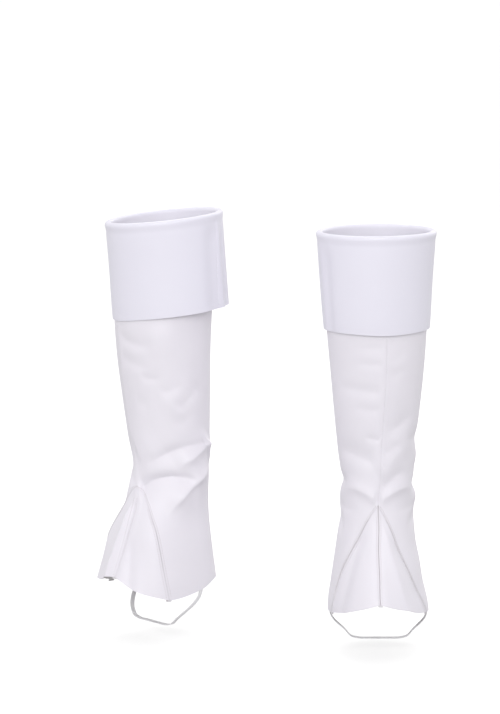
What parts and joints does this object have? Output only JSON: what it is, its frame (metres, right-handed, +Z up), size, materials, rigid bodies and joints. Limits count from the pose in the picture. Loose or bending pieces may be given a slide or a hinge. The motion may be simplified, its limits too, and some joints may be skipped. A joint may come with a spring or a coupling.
{
  "type": "pair of boot tops",
  "caption": "Worn-form pair of white faux-leather boot tops: leg tubes with turned-down cuffs, flared front godets and an elastic strap under each foot.",
  "frame": {"origin": "where the wearer's legs hold the pair: midway between the two legs at calf height, 400 mm above the ground they stand on", "axes": "+Z up the legs; the wearer faces -Y, and +X is towards the wearer's left"},
  "size_m": [0.4008, 0.2409, 0.4963],
  "materials": {
    "vinyl": "smooth white faux leather with a fine grain and a soft sheen",
    "cuff_vinyl": "the same white faux leather, a little cooler, with a soft sheen",
    "elastic": "braided white elastic, matt"
  },
  "bodies": {
    "root": {"left_leg_inner": "vinyl", "left_leg_outer": "vinyl", "left_godet_inner": "vinyl", "left_godet_outer": "vinyl", "left_cuff": "cuff_vinyl", "left_stirrup": "elastic", "right_leg_inner": "vinyl", "right_leg_outer": "vinyl", "right_godet_inner": "vinyl", "right_godet_outer": "vinyl", "right_cuff": "cuff_vinyl", "right_stirrup": "elastic"}
  },
  "joints": []
}
